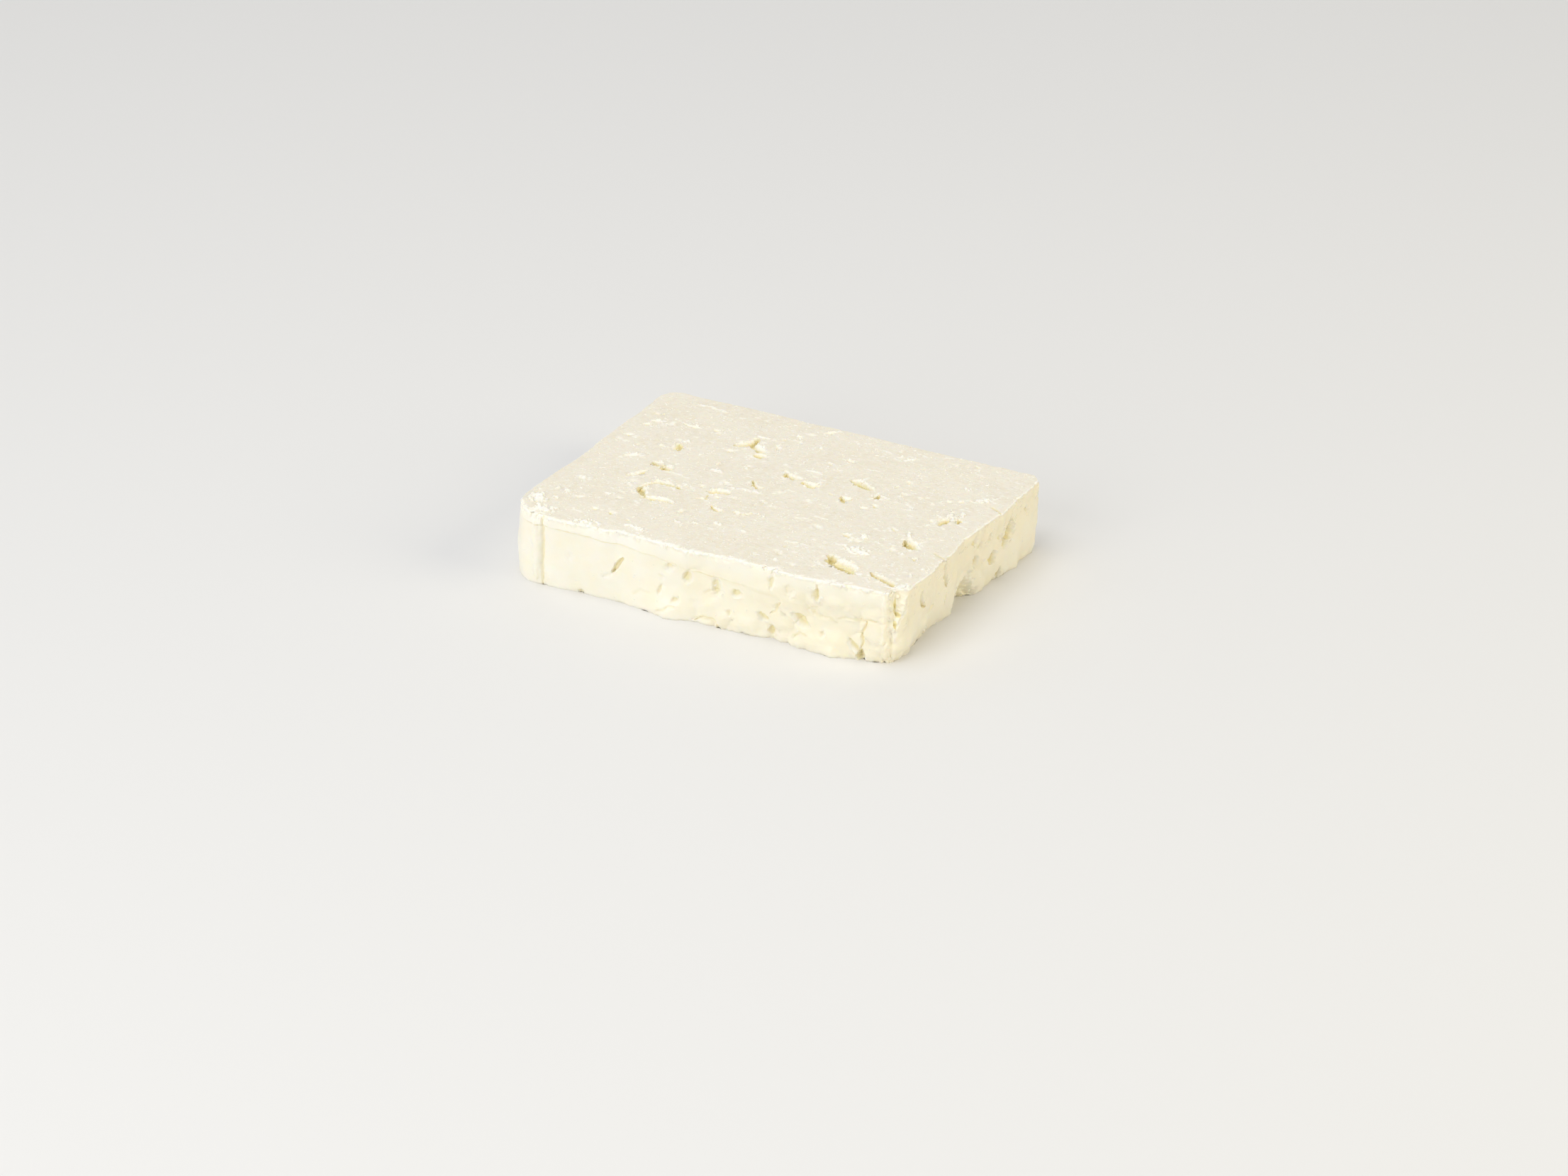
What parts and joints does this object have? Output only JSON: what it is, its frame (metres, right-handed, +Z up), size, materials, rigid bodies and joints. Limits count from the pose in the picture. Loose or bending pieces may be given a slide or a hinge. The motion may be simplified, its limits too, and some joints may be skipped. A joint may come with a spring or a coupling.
{
  "type": "feta block",
  "caption": "Flat rectangular block of crumbly white brined cheese with rounded corners, a torn cut face and lumpy, pitted sides.",
  "frame": {"origin": "under the middle of the block, on the plane that it rests on", "axes": "+X along the long side towards the end with the lumpy near corner, +Y away from the lumpy long side, +Z up out of the cut face"},
  "size_m": [0.1157, 0.085, 0.0208],
  "materials": {
    "feta": null
  },
  "bodies": {
    "root": {"feta_block": "feta"}
  },
  "joints": []
}
